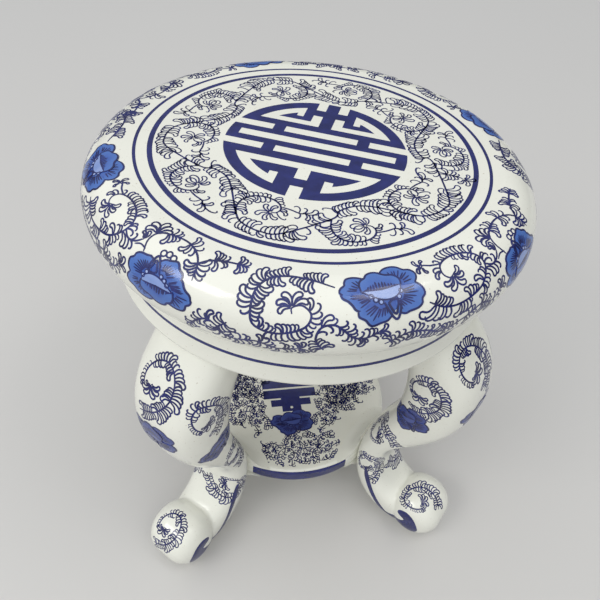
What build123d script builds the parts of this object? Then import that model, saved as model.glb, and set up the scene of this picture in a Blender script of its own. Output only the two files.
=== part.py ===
from build123d import *
import os
from math import cos, copysign, pi, radians, sin, sqrt

# A low round porcelain stool: a hollow rolled-rim seat on four S-shaped legs with scrolled toes, tied by a round shelf.
# Millimetres. The origin is on the floor under the middle of the seat, +Z is up, and -Y is the front.

# Seat cap: flat top with a rolled rim, cast hollow
flat_radius = 99.5
rim_radius = 120.0
rim_over_drop = 19.0
rim_under_drop = 18.0
groove_radius = 105.3
cap_wall = 6.0

# Apron: the plain band under the rim, with a ledge inside for the floor
apron_drop = 28.0
apron_wall = 6.0
apron_waist_tuck = 0.1
apron_waist_drop = 9.0
apron_flare = 2.4
apron_foot_round = 3.0
ledge_width = 2.7

# Floor that closes the seat from below, with an air vent and one air way into each hollow leg
floor_thickness = 6.0
floor_clearance = 0.3
vent_diameter = 16.0
air_way_diameter = 12.0

# Shelf between the legs, let into them a little, with a flowing saddle at each joint
shelf_height = 55.0
shelf_thickness = 12.5
shelf_edge_round = 3.5
shelf_bite = 3.0
saddle_sweep_top = 14.0
saddle_sweep_under = 8.0

# Legs. A section across the S has an inner edge, an outer edge and a width: at the top, at the full knee,
# at the waist where the shelf joins, and at the root of the toe.
leg_height = 200.0
leg_setback = 3.7
leg_top_depth = 38.0
leg_top_width = 50.0
knee_drop = 41.0
knee_inner_reach = 86.0
knee_depth = 43.5
knee_width = 49.0
waist_inner_reach = 68.5
waist_depth = 21.0
waist_width = 38.0
leg_wall = 6.5
corner_power = 2.8
section_points = 16

# Toe, rolled up into a scroll that stands on a small flat
toe_reach = 121.5
toe_radius = 18.8
toe_width = 39.0
toe_round = 14.0
toe_flat_depth = 0.4
toe_root_tuck = 2.5
toe_root_lift = 2.0
toe_root_depth = 24.5
toe_root_width = 31.0
crease_round = 2.5

# What follows from the sizes above
groove_height = leg_height + apron_drop
rim_height = groove_height + rim_under_drop
stool_height = rim_height + rim_over_drop
apron_inner_radius = groove_radius - apron_wall
apron_foot_radius = groove_radius + apron_flare
ledge_radius = apron_inner_radius + ledge_width
ledge_height = leg_height + floor_thickness
leg_top_outer = apron_foot_radius - leg_setback
leg_top_inner = leg_top_outer - leg_top_depth
knee_height = leg_height - knee_drop
knee_outer_reach = knee_inner_reach + knee_depth
waist_outer_reach = waist_inner_reach + waist_depth
toe_root_reach = toe_reach - toe_root_tuck
toe_root_top = toe_root_lift + toe_root_depth
shelf_radius = waist_inner_reach + shelf_bite
leg_turns = {"front_right": -45.0, "back_right": 45.0, "back_left": 135.0, "front_left": 225.0}

# The four main sections: reach and height of the inner edge, the same of the outer edge, width
top_row = (leg_top_inner, leg_height, leg_top_outer, leg_height, leg_top_width)
knee_row = (knee_inner_reach, knee_height, knee_outer_reach, knee_height, knee_width)
waist_row = (waist_inner_reach, shelf_height, waist_outer_reach, shelf_height, waist_width)
toe_row = (toe_root_reach, toe_root_lift, toe_root_reach, toe_root_top, toe_root_width)

# How far each value of a section in between has gone from the main section above it to the one below it
shoulder_shares = [
    (0.65, 0.44, 0.59, 0.40, 0.0),
]
bend_shares = [
    (-0.06, 0.20, 0.06, 0.25, 0.27),
    (0.06, 0.40, 0.37, 0.50, 0.59),
    (0.43, 0.60, 0.74, 0.69, 0.86),
    (0.86, 0.80, 0.96, 0.85, 1.0),
]
shin_shares = [
    (0.05, 0.37, 0.12, 0.46, 0.0),
    (0.26, 0.75, 0.42, 0.84, 0.0),
    (0.60, 0.97, 0.69, 0.95, 0.14),
]
hollow_bends = 3


def quarter(centre, radial, vertical, first, last):
    """Part of an upright ellipse in the profile plane, from the first angle to the last."""
    return EllipticalCenterArc(centre, radial, vertical, first, arc_size=last - first)


def spun(outline):
    """A solid of revolution from a closed outline drawn as reach and height."""
    return revolve(Plane.XZ * make_face(outline), Axis.Z)


def make_seat_cap():
    """Flat top and rolled rim as one hollow casting, open below inside the groove."""
    inner_flat = stool_height - cap_wall
    inner_groove = groove_radius - cap_wall
    inner_rim = rim_radius - cap_wall
    outside = [
        Line((0, stool_height), (flat_radius, stool_height)),
        quarter((flat_radius, rim_height), rim_radius - flat_radius, rim_over_drop, 90, 0),
        quarter((groove_radius, rim_height), rim_radius - groove_radius, rim_under_drop, 0, -90),
    ]
    inside = [
        Line((groove_radius, groove_height), (inner_groove, groove_height)),
        Line((inner_groove, groove_height), (inner_groove, groove_height + cap_wall)),
        quarter((inner_groove, rim_height), inner_rim - inner_groove, rim_under_drop - cap_wall, -90, 0),
        quarter((flat_radius, rim_height), inner_rim - flat_radius, rim_over_drop - cap_wall, 0, 90),
        Line((flat_radius, inner_flat), (0, inner_flat)),
        Line((0, inner_flat), (0, stool_height)),
    ]
    return spun(outside + inside)


def make_seat_apron():
    """Band under the rim: a slight waist outside, a soft foot, and a ledge inside that the floor seats on."""
    foot = (apron_foot_radius, leg_height + apron_foot_round)
    sole = (apron_foot_radius - apron_foot_round, leg_height)
    waist = (groove_radius - apron_waist_tuck, groove_height - apron_waist_drop)
    outside = [
        Spline((groove_radius, groove_height), waist, foot),
        RadiusArc(foot, sole, apron_foot_round),
    ]
    inside = Polyline(
        sole,
        (ledge_radius, leg_height),
        (ledge_radius, ledge_height),
        (apron_inner_radius, ledge_height),
        (apron_inner_radius, groove_height),
        (groove_radius, groove_height),
    )
    return spun(outside + [inside])


def make_seat_floor():
    """Disc that closes the hollow seat, seated up against the apron's ledge."""
    middle = leg_height + floor_thickness / 2
    leg_middle = (leg_top_inner + leg_top_outer) / 2
    disc = Pos(0, 0, middle) * Cylinder(ledge_radius - floor_clearance, floor_thickness)
    disc -= Pos(0, 0, middle) * Cylinder(vent_diameter / 2, floor_thickness)
    air_way = Pos(leg_middle, 0, middle) * Cylinder(air_way_diameter / 2, floor_thickness)
    for turn in leg_turns.values():
        disc -= Rot(0, 0, turn) * air_way
    return disc


def soft_square(depth, width):
    """A smooth closed section between an ellipse and a rectangle."""
    power = 2 / corner_power
    points = []
    for step in range(section_points):
        angle = 2 * pi * step / section_points
        across = copysign(abs(cos(angle)) ** power, cos(angle))
        along = copysign(abs(sin(angle)) ** power, sin(angle))
        points.append((across * depth / 2, along * width / 2))
    return make_face(Spline(points, periodic=True))


def rows_between(above, below, shares):
    """Sections between two main ones."""
    rows = []
    for share in shares:
        rows.append(tuple(a + (b - a) * part for a, b, part in zip(above, below, share)))
    return rows


def leg_section(row, inset):
    """One section of the S, drawn in by the inset on every side."""
    inner_reach, inner_height, outer_reach, outer_height, width = row
    run = outer_reach - inner_reach
    rise = outer_height - inner_height
    depth = sqrt(run * run + rise * rise)
    middle = ((inner_reach + outer_reach) / 2, 0, (inner_height + outer_height) / 2)
    plane = Plane(origin=middle, x_dir=(run, 0, rise), z_dir=(-rise, 0, run))
    return plane * soft_square(depth - 2 * inset, width - 2 * inset)


def make_toe():
    """The rolled-up toe: a short drum on its side, rounded nearly to a ball."""
    drum = Rot(90, 0, 0) * Cylinder(toe_radius, toe_width)
    drum = fillet(drum.edges().filter_by(GeomType.CIRCLE), toe_round)
    drum = Pos(toe_reach, 0, toe_radius - toe_flat_depth) * drum
    above_floor = Box(4 * toe_reach, 4 * toe_reach, leg_height, align=(Align.CENTER, Align.CENTER, Align.MIN))
    return drum & above_floor


def make_leg():
    """S-shaped leg along +X: full knee, slim waist, scrolled toe with a soft crease behind it; hollow to the waist."""
    knee = [top_row] + rows_between(top_row, knee_row, shoulder_shares) + [knee_row]
    bend = rows_between(knee_row, waist_row, bend_shares)
    shin = [waist_row] + rows_between(waist_row, toe_row, shin_shares) + [toe_row]
    body = loft([leg_section(row, 0) for row in knee + bend + shin])
    toe = make_toe()
    leg = body + toe
    leg = fillet(new_edges(body, toe, combined=leg), crease_round)
    hollow = loft([leg_section(row, leg_wall) for row in knee + bend[:hollow_bends]])
    return leg - hollow


def make_saddle(sweep, way):
    """Flare from the shelf's face onto a leg along +X, a quarter round; way is 1 above the shelf and -1 below it."""
    face_height = shelf_height if way > 0 else shelf_height - shelf_thickness
    reach = (waist_inner_reach + waist_outer_reach) / 2
    sections = []
    for angle in (0, 30, 45, 60, 90):
        spread = sweep * (1 - sin(radians(angle)))
        level = Plane((reach, 0, face_height + way * sweep * (1 - cos(radians(angle)))))
        sections.append(level * soft_square(waist_depth + 2 * spread, waist_width + 2 * spread))
    return loft(sections)


def make_lower_shelf(legs):
    """Round shelf with saddles, cut to the faces of the legs that it is joined to."""
    shelf = Pos(0, 0, shelf_height - shelf_thickness / 2) * Cylinder(shelf_radius, shelf_thickness)
    shelf = fillet(shelf.edges().filter_by(GeomType.CIRCLE), shelf_edge_round)
    keep = Cylinder(shelf_radius, stool_height, align=(Align.CENTER, Align.CENTER, Align.MIN))
    for turn in leg_turns.values():
        for sweep, way in ((saddle_sweep_top, 1), (saddle_sweep_under, -1)):
            shelf += Rot(0, 0, turn) * make_saddle(sweep, way) & keep
    for leg in legs:
        shelf -= leg
    return shelf


os.makedirs("parts", exist_ok=True)
one_leg = make_leg()
legs = {f"leg_{place}": Rot(0, 0, turn) * one_leg for place, turn in leg_turns.items()}
nodes = {
    "seat_cap": make_seat_cap(),
    "seat_apron": make_seat_apron(),
    "seat_floor": make_seat_floor(),
    "lower_shelf": make_lower_shelf(legs.values()),
    **legs,
}
for name, shape in nodes.items():
    export_step(shape, f"parts/{name}.step")
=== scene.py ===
import math
import random

import bpy
import numpy as np
from mathutils import Matrix, Vector
from mathutils.bvhtree import BVHTree
from mathutils.geometry import delaunay_2d_cdt


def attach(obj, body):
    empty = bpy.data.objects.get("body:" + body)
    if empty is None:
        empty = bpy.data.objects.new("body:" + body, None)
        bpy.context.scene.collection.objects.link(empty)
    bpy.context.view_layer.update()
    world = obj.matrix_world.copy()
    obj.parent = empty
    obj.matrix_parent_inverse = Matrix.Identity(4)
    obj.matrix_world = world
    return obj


# A low round porcelain stool with underglaze blue painting. Drawings are laid out flat in millimetres,
# then wrapped onto the glazed surfaces as thin coats of paint. Blender's own lengths are metres.

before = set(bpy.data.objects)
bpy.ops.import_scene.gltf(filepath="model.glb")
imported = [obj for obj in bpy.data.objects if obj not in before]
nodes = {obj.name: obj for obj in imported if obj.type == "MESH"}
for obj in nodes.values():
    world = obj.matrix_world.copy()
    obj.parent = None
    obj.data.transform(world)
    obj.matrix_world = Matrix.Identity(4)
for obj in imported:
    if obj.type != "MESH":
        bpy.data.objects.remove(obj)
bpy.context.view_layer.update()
chance = random.Random(11)

MM = 0.001

# Sizes that the painting follows, in millimetres
top_height = 265.0
flat_radius = 99.5
rim_radius = 120.0
rim_height = 246.0
groove_radius = 105.3
groove_height = 228.0
shelf_height = 55.0
shelf_radius = 71.5
leg_turns = {"front_right": -45.0, "back_right": 45.0, "back_left": 135.0, "front_left": 225.0}

# The coat of paint
paint_proud = 0.05
paint_sunk = 0.10
layer_lift = 0.02
fill_step = 1.1
walk_step = 2.0

# Brush lines. A pen is the width of the line that leaves are drawn with, in millimetres.
line_width = 0.95
stem_width = 1.0
twig_width = 0.9
top_pen = 0.78
rim_pen = 0.94
leg_pen = 1.3
shelf_pen = 0.74
path_step = 0.7
run_points = 24
taper_reach = 0.22

# Leaves: how close they stand, and how their lengths fall off along a cluster
leaf_spacing = 1.9
leaf_room = 1.15
leg_room = 0.75
shelf_room = 0.95
root_reach = 2.5
spray_fall = 0.42
frond_fall = 0.20
fan_fall = 0.45
fan_root = 0.6
feather_swell = 0.2
feather_spread = 24.0
tip_share = 0.8
long_filler = 4.5
filler_over = 1.0
tilt_wander = 4.0
size_wander = 0.06
# A leaf is tried at these shares of its length. It needs room at places ahead and aside, by its length.
leaf_tries = (1.0, 0.82, 0.66)
leaf_probes = [(0.45, 0.0), (0.7, 0.0), (0.97, 0.13)]

# Painting on the flat top
outer_ring_radius = 92.2
outer_ring_width = 1.7
inner_ring_radius = 84.5
inner_ring_width = 2.7
medallion_radius = 48.2
medallion_turn = -23.8
medallion_middle = (0.6, -0.4)
fret_frame = 6.2
fret_band = 5.2
field_radius = 66.0
# Azimuth of each scroll, from the front (-Y) towards the right (+X). The first one curls towards the middle.
scroll_places = [-172.0, -132.0, -100.0, -63.6, -29.0, 9.0, 41.0, 84.7, 117.0, 153.6]

# Painting below the rim
collar_line_height = 212.4
collar_line_width = 1.7
collar_radius = 105.8
collar_reach = 2.0
shelf_flower_middle = (-3.0, -31.0)
shelf_flower_size = 0.84
shelf_band_low = 43.2
shelf_band_highs = (53.9, 51.5)
shelf_band_angles = (-29.5, 25.0)
shelf_band_fall = 0.7
foot_shift = 3.0

# Painting on the rim: drawn as length round the rim and length over it, from the flat top outwards
rim_start_radius = 90.0
rim_round_radius = 112.0
panel_places = [-85.0, 5.0, 103.0, 190.0]


# Flat drawing

def spline(points, closed=False):
    """Dense points along a smooth curve through the given points, the same number to each run."""
    p = np.array(points, float)
    if closed:
        p = np.vstack([p[-1:], p, p[:2]])
    else:
        p = np.vstack([2 * p[0] - p[1], p, 2 * p[-1] - p[-2]])
    t = np.linspace(0, 1, run_points, endpoint=False)[:, None]
    runs = []
    for a, b, c, d in zip(p[:-3], p[1:-2], p[2:-1], p[3:]):
        turn = 2 * b + (c - a) * t + (2 * a - 5 * b + 4 * c - d) * t ** 2 + (3 * b - a - 3 * c + d) * t ** 3
        runs.append(0.5 * turn)
    return np.vstack(runs + [p[-2:-1]])


def lengths_along(dense):
    return np.concatenate([[0], np.cumsum(np.hypot(*np.diff(dense, axis=0).T))])


def even_path(dense, step):
    along = lengths_along(dense)
    count = max(3, int(round(along[-1] / step)) + 1)
    places = np.linspace(0, along[-1], count)
    return np.stack([np.interp(places, along, dense[:, k]) for k in (0, 1)], 1)


def smooth_path(points, step=path_step):
    return even_path(spline(points), step)


def tangents(path):
    d = np.gradient(path, axis=0)
    return d / np.maximum(np.hypot(d[:, 0], d[:, 1]), 1e-9)[:, None]


def ray(angle):
    return np.array([math.cos(angle), math.sin(angle)])


def circle(count, radius=1.0):
    """Points round a circle, the last one on the first."""
    turn = np.linspace(0, 2 * math.pi, count)
    return radius * np.stack([np.cos(turn), np.sin(turn)], 1)


def placed(points, centre, size, turn):
    a = math.radians(turn)
    p = np.array(points, float) * size
    x = p[:, 0] * math.cos(a) - p[:, 1] * math.sin(a)
    y = p[:, 0] * math.sin(a) + p[:, 1] * math.cos(a)
    return np.stack([x + centre[0], y + centre[1]], 1)


def nearest(places, points):
    """Shortest way between two sets of points."""
    if len(places) == 0:
        return math.inf
    return np.linalg.norm(places[None] - points[:, None], axis=2).min()


def uneven():
    """A share close to 1, for lengths drawn by hand."""
    return chance.uniform(1 - size_wander, 1 + size_wander)


def grid_faces(rows, count):
    """Faces between rows of points that follow each other."""
    return [(first + i, first + count + i, first + count + i + 1, first + i + 1)
            for first in range(0, count * (rows - 1), count) for i in range(count - 1)]


class Stem:
    """A smooth stem through set points. A knot counts those points: 2.5 is halfway from the third to the
    fourth."""

    def __init__(self, points, closed=False):
        dense = spline(points, closed)
        self.along = lengths_along(dense)
        self.path = even_path(dense, path_step)
        self.slopes = tangents(self.path)

    def far(self, knot):
        """Length from the root to a knot."""
        return np.interp(knot * run_points, np.arange(len(self.along)), self.along)

    def at(self, far):
        """Place and heading at a length from the root."""
        share = min(1.0, max(0.0, far / self.along[-1]))
        k = int(round(share * (len(self.path) - 1)))
        return self.path[k], math.atan2(self.slopes[k, 1], self.slopes[k, 0])

    def at_knot(self, knot):
        return self.at(self.far(knot))


class Drawing:
    """A flat drawing in millimetres: faces of paint, and leaves still to be set along the stems."""

    def __init__(self, pen=line_width, room=leaf_room):
        self.points = []
        self.faces = []
        self.tones = []
        self.leaves = {}
        self.taken = np.zeros((0, 2))
        self.stems = np.zeros((0, 2))
        self.pen = pen
        self.room = room

    def add(self, points, faces, tone=0.0):
        first = len(self.points)
        self.points.extend((float(x), float(y)) for x, y in points)
        self.faces.extend(tuple(first + i for i in face) for face in faces)
        tones = np.broadcast_to(np.asarray(tone, float), (len(points),))
        self.tones.extend(float(v) for v in tones)

    def keep_clear(self, points):
        """Places that no leaf may come close to."""
        self.taken = np.vstack([self.taken, points])

    def brush(self, path, width=line_width, taper=(0.5, 0.5), columns=2):
        """A brush line along a path, drawn finer towards its ends."""
        path = np.asarray(path, float)
        along = np.linspace(0, 1, len(path))
        fine = np.ones(len(path))
        for share, end in ((along, taper[0]), (1 - along, taper[1])):
            fine = fine * (end + (1 - end) * np.sqrt(np.minimum(share, taper_reach) / taper_reach))
        t = tangents(path)
        side = np.stack([-t[:, 1], t[:, 0]], 1) * (0.5 * width * fine)[:, None]
        points = np.vstack([path + side * share for share in np.linspace(1, -1, columns)])
        self.add(points, grid_faces(columns, len(path)))

    def stem(self, stem, width=stem_width, taper=(0.6, 0.5)):
        self.brush(stem.path, width, taper)
        self.stems = np.vstack([self.stems, stem.path])

    def leaf(self, place, axis, length, hand, kind):
        """Sets a leaf, shorter where others stand in its way, or none where there is no room."""
        ahead = ray(axis)
        aside = hand * np.array([-ahead[1], ahead[0]])
        for share in leaf_tries:
            size = length * share
            probes = np.array([place + ahead * size * far + aside * size * off for far, off in leaf_probes])
            if nearest(self.taken, probes) > self.room and nearest(self.stems, probes[1:]) > self.room:
                self.keep_clear(probes)
                thick = min(leaf_pens, key=lambda pen: abs(pen - self.pen / size))
                rows = self.leaves.setdefault((hand, kind, thick), [])
                rows.append((place[0], place[1], axis - math.pi / 2, size))
                return

    def leaf_row(self, stem, start, stop, side, count, hook, lean, spread, sized):
        """Place, axis and length of each leaf in a row on one side of a stem, from the hooked end on. Side 1
        is left of the stem's heading. hook 1 curls the tips back towards the root, -1 towards the tip."""
        rows = []
        for i in range(count) if hook > 0 else range(count - 1, -1, -1):
            share = i / (count - 1)
            place, heading = stem.at(start + (stop - start) * share)
            tilt = 90 - lean - spread * (share - 0.5) + chance.uniform(-tilt_wander, tilt_wander)
            rank = 1 - share if hook > 0 else share
            rows.append((place, heading + side * math.radians(tilt), sized(rank) * uneven()))
        return rows

    def set_row(self, rows, hand, gap):
        """Sets a row of leaves whose tips stand a gap apart. The first one closes into a loop."""
        for i, (place, axis, size) in enumerate(rows):
            self.leaf(place, axis, size, hand, "closed" if i == 0 else hooked(gap, size))

    def feather(self, stem, first, last, side, length, hook, lean):
        """Leaves of nearly even length from one knot to another."""
        start, stop = stem.far(first), stem.far(last)
        count = max(2, int(round((stop - start) / leaf_spacing)) + 1)
        rows = self.leaf_row(stem, start, stop, side, count, hook, lean, feather_spread,
                             lambda rank: length * (1 - feather_swell * 0.5 + feather_swell * rank ** 1.5))
        self.set_row(rows, side * hook, leaf_spacing)

    def spray(self, stem, knot, side, count, length, hook=1, lean=20.0, spread=50.0, run=5.0):
        """A cluster of leaves that fans out from a short run of stem, the longest at the hooked end."""
        start = stem.far(knot) - run / 2
        rows = self.leaf_row(stem, start, start + run, side, count, hook, lean, spread,
                             lambda rank: length * (1 - spray_fall * (1 - rank)))
        tips = [place + tip_share * length * ray(axis) for place, axis, _ in rows]
        self.set_row(rows, side * hook, np.hypot(*np.diff(tips, axis=0).T).mean())

    def sprays(self, stem, knot, count, left, right, lean=20.0, spread=50.0, run=5.0):
        """Clusters of leaves of the given lengths on both sides."""
        self.spray(stem, knot, 1, count, left, 1, lean, spread, run)
        self.spray(stem, knot, -1, count, right, 1, lean, spread, run)

    def fan(self, place, heading, count, spread, length, hook=1):
        """A palmette: leaves that open out from one point."""
        for i in range(count):
            share = i / max(1, count - 1) - 0.5
            axis = heading + math.radians(spread * share)
            size = length * (1 - fan_fall * abs(share)) * uneven()
            hand = 1 if share * hook >= 0 else -1
            self.leaf(np.asarray(place) + ray(axis) * fan_root, axis, size, hand, "closed")

    def tuft(self, stem, knot, *fan):
        """A palmette at a knot of a stem."""
        self.fan(stem.at_knot(knot)[0], *fan)

    def frond(self, roots, tips, count, hand):
        """Strokes that spread from a run of stem to a line of tips."""
        rows = []
        for share in np.linspace(0, 1, count):
            root = roots[0] + (roots[1] - roots[0]) * share
            tip = tips[0] + (tips[1] - tips[0]) * share
            gaps = np.hypot(*(self.stems - root).T)
            if gaps.min() < root_reach:
                root = self.stems[gaps.argmin()]
            way = tip - root
            rows.append((root, math.atan2(way[1], way[0]), np.hypot(*way) * (1 - frond_fall * share)))
        self.set_row(rows, hand, np.hypot(*(tips[1] - tips[0])) / (count - 1))

    def fill_in(self, spots, bare, reach):
        """Leaves from the nearest stem towards places that are still bare."""
        for spot in spots:
            gaps = np.hypot(*(self.stems - spot).T)
            if nearest(self.taken, spot[None]) > bare and bare < gaps.min() < reach:
                root = self.stems[gaps.argmin()]
                way = spot - root
                length = gaps.min() + filler_over
                shape = "slim" if gaps.min() > long_filler else "open"
                self.leaf(root, math.atan2(way[1], way[0]), length, chance.choice((1, -1)), shape)

    def fill(self, outline, tone=0.0):
        """A filled shape inside a closed outline."""
        low, high = np.min(outline, axis=0), np.max(outline, axis=0)
        outline = [tuple(p) for p in outline]
        grid = [(x, y) for x in np.arange(low[0], high[0], fill_step)
                for y in np.arange(low[1], high[1], fill_step)]
        points, faces = cut_shape(outline, [], [p for p in grid if inside(p, outline)])
        self.add(points, faces, tone)

    def disc(self, centre, radius, tone=0.0, sides=12):
        ring = circle(sides + 1, radius)[:-1] + centre
        faces = [(0, 1 + i, 1 + (i + 1) % sides) for i in range(sides)]
        self.add(np.vstack([[centre], ring]), faces, tone)


# Node trees

def add_node(tree, kind, values=None, **settings):
    """A new node with some of its settings and inputs filled in."""
    node = tree.nodes.new(kind)
    for name, value in settings.items():
        setattr(node, name, value)
    for name, value in (values or {}).items():
        node.inputs[name].default_value = value
    return node


def add_object(name, data):
    made = bpy.data.objects.new(name, data)
    bpy.context.scene.collection.objects.link(made)
    return made


# Leaves are set along the stems by a node tree. Each shape is drawn along +Y with a length of 1.

leaf_shapes = {
    "open": [(0, 0), (0.10, 0.20), (0.15, 0.43), (0.13, 0.66), (0.03, 0.86), (-0.13, 0.96), (-0.29, 0.93),
             (-0.38, 0.82)],
    "closed": [(0, 0), (0.11, 0.20), (0.16, 0.43), (0.13, 0.67), (0.01, 0.88), (-0.16, 0.97), (-0.32, 0.92),
               (-0.39, 0.80), (-0.32, 0.68), (-0.17, 0.60), (-0.06, 0.42), (-0.05, 0.2), (-0.03, 0.02)],
    "middle": [(0, 0), (0.09, 0.22), (0.14, 0.46), (0.12, 0.69), (0.03, 0.88), (-0.09, 0.96), (-0.20, 0.92),
               (-0.26, 0.83)],
    "slim": [(0, 0), (0.08, 0.24), (0.12, 0.5), (0.10, 0.74), (0.02, 0.91), (-0.07, 0.97), (-0.14, 0.93),
             (-0.17, 0.86)],
}
leaf_step = 0.115
# How wide each hook is, and how wide the brush line may be, as shares of the leaf's length
hook_shares = [("open", 0.37), ("middle", 0.28), ("slim", 0.0)]
leaf_pens = [0.09, 0.11, 0.135, 0.165, 0.20, 0.25]


def hooked(gap, size):
    """The kind of leaf whose hook just fills the gap to the next one."""
    return next(kind for kind, share in hook_shares if gap >= share * size)


def leaf_object(hand, kind, thick):
    """A comma-shaped leaf that hooks to one side, as a brush line."""
    flat = Drawing()
    path = smooth_path(leaf_shapes[kind], leaf_step) * np.array([hand, 1.0])
    flat.brush(path, thick, (0.75, 0.7))
    mesh = bpy.data.meshes.new(f"leaf_{kind}")
    mesh.from_pydata([(x, y, 0) for x, y in flat.points], [], flat.faces)
    return add_object(f"leaf_{kind}", mesh)


def leaf_tree():
    """Sets one leaf on each point, turned and sized by the point's own values."""
    tree = bpy.data.node_groups.new("Leaves along the stems", "GeometryNodeTree")
    for name, way, kind in (("Geometry", "INPUT", "Geometry"), ("Leaf", "INPUT", "Object"),
                            ("Length scale", "INPUT", "Float"), ("Paint", "INPUT", "Material"),
                            ("Geometry", "OUTPUT", "Geometry")):
        tree.interface.new_socket(name, in_out=way, socket_type=f"NodeSocket{kind}")
    given = add_node(tree, "NodeGroupInput")
    result = add_node(tree, "NodeGroupOutput")
    turn = add_node(tree, "GeometryNodeInputNamedAttribute", {"Name": "turn"}, data_type="FLOAT")
    length = add_node(tree, "GeometryNodeInputNamedAttribute", {"Name": "length"}, data_type="FLOAT")
    spin = add_node(tree, "ShaderNodeCombineXYZ")
    scaled = add_node(tree, "ShaderNodeMath", operation="MULTIPLY")
    leaf = add_node(tree, "GeometryNodeObjectInfo")
    put = add_node(tree, "GeometryNodeInstanceOnPoints")
    real = add_node(tree, "GeometryNodeRealizeInstances")
    painted = add_node(tree, "GeometryNodeSetMaterial")
    for start, output, end, entry in (
        (turn, "Attribute", spin, "Z"),
        (length, "Attribute", scaled, 0),
        (given, "Length scale", scaled, 1),
        (given, "Leaf", leaf, "Object"),
        (given, "Geometry", put, "Points"),
        (leaf, "Geometry", put, "Instance"),
        (spin, "Vector", put, "Rotation"),
        (scaled, "Value", put, "Scale"),
        (put, "Instances", real, "Geometry"),
        (real, "Geometry", painted, "Geometry"),
        (given, "Paint", painted, "Material"),
        (painted, "Geometry", result, "Geometry"),
    ):
        tree.links.new(start.outputs[output], end.inputs[entry])
    return tree


def leaf_points(rows, tree, leaf, paint):
    """An object with a point for each leaf, and the leaf tree as its modifier."""
    mesh = bpy.data.meshes.new("leaf_points")
    mesh.from_pydata([(x, y, 0) for x, y in rows[:, :2]], [], [])
    for name, column in (("turn", 2), ("length", 3)):
        values = mesh.attributes.new(name, "FLOAT", "POINT")
        values.data.foreach_set("value", rows[:, column].astype(np.float32))
    holder = add_object("leaf_points", mesh)
    steps = holder.modifiers.new("leaves", "NODES")
    steps.node_group = tree
    given = {"Leaf": leaf, "Length scale": 1.0, "Paint": paint}
    for item in tree.interface.items_tree:
        if item.item_type == "SOCKET" and item.in_out == "INPUT" and item.name in given:
            steps[item.identifier] = given[item.name]
    return holder


def set_leaves(drawing, tree, leaf_kinds, paint):
    """Runs the leaf tree over a drawing's leaf points and adds the leaves to the drawing."""
    for kind, rows in drawing.leaves.items():
        holder = leaf_points(np.array(rows), tree, leaf_kinds[kind], paint)
        bpy.context.view_layer.update()
        grown = holder.evaluated_get(bpy.context.evaluated_depsgraph_get())
        made = bpy.data.meshes.new_from_object(grown)
        drawing.add([v.co.xy for v in made.vertices], [tuple(f.vertices) for f in made.polygons])
        bpy.data.objects.remove(holder)
        bpy.data.meshes.remove(made)
    drawing.leaves = {}


# Wrapping a drawing onto a surface. Each wrap turns flat points into places and outward directions, in
# millimetres.

def tree_of(node):
    mesh = nodes[node].data
    corners = [v.co / MM for v in mesh.vertices]
    return BVHTree.FromPolygons(corners, [tuple(f.vertices) for f in mesh.polygons])


def onto_level(height, turn=0.0, centre=(0.0, 0.0)):
    """A level face, with the drawing turned about its own middle."""
    def wrap(flat):
        spots = placed(flat, centre, 1.0, turn)
        places = np.column_stack([spots, np.full(len(spots), height)])
        return places, np.tile((0.0, 0.0, 1.0), (len(spots), 1))
    return wrap


def turned(reach, height, out, up, start_azimuth, round_radius):
    """Wraps a drawing round a turned surface, given by its section: x is length round it, and y is length
    down the section."""
    along = np.concatenate([[0], np.cumsum(np.hypot(np.diff(reach), np.diff(height)))])

    def wrap(flat):
        azimuth = np.radians(start_azimuth) + flat[:, 0] / round_radius
        r, z, o, u = (np.interp(flat[:, 1], along, row) for row in (reach, height, out, up))
        ahead = np.stack([np.sin(azimuth), -np.cos(azimuth)], 1)
        places = np.concatenate([ahead * r[:, None], z[:, None]], 1)
        return places, np.concatenate([ahead * o[:, None], u[:, None]], 1)
    return wrap


def onto_rim(start_azimuth):
    """The rolled rim, from the flat top to the groove. The panel is drawn with up towards the top."""
    over = np.radians(np.linspace(90, 0, 160))
    under = np.radians(np.linspace(0, -90, 160))[1:]
    a, b = rim_radius - flat_radius, top_height - rim_height
    c, d = rim_radius - groove_radius, rim_height - groove_height
    reach = np.concatenate([[rim_start_radius], flat_radius + a * np.cos(over),
                            groove_radius + c * np.cos(under)])
    height = np.concatenate([[top_height], rim_height + b * np.sin(over), rim_height + d * np.sin(under)])
    out = np.concatenate([[0.0], np.cos(over) / a, np.cos(under) / c])
    up = np.concatenate([[1.0], np.sin(over) / b, np.sin(under) / d])
    size = np.hypot(out, up)
    wrap = turned(reach, height, out / size, up / size, start_azimuth, rim_round_radius)
    return lambda flat: wrap(flat * np.array([1.0, -1.0]))


def onto_collar(levels=9):
    """The upright band under the rim, close to its line."""
    tree = tree_of("seat_apron")
    height = np.linspace(collar_line_height + collar_reach, collar_line_height - collar_reach, levels)
    hits = [tree.ray_cast(Vector((0, -300, z)), Vector((0, 1, 0)))[0] for z in height]
    reach = np.array([math.hypot(hit.x, hit.y) for hit in hits])
    return turned(reach, height, np.ones(levels), np.zeros(levels), 0.0, collar_radius)


def point_by_point(find):
    """A wrap that looks up the place and the outward direction of each flat point by itself."""
    def wrap(flat):
        found = [find(float(x), float(y)) for x, y in flat]
        return np.array([place for place, _ in found]), np.array([outward for _, outward in found])
    return wrap


def onto_shelf_edge(start_azimuth):
    """The edge of the shelf: x is length round it and y is height."""
    tree = tree_of("lower_shelf")

    def find(x, y):
        a = math.radians(start_azimuth) + x / shelf_radius
        ahead = Vector((math.sin(a), -math.cos(a), 0))
        return tree.ray_cast(ahead * rim_radius + Vector((0, 0, y)), -ahead)[:2]
    return point_by_point(find)


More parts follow.
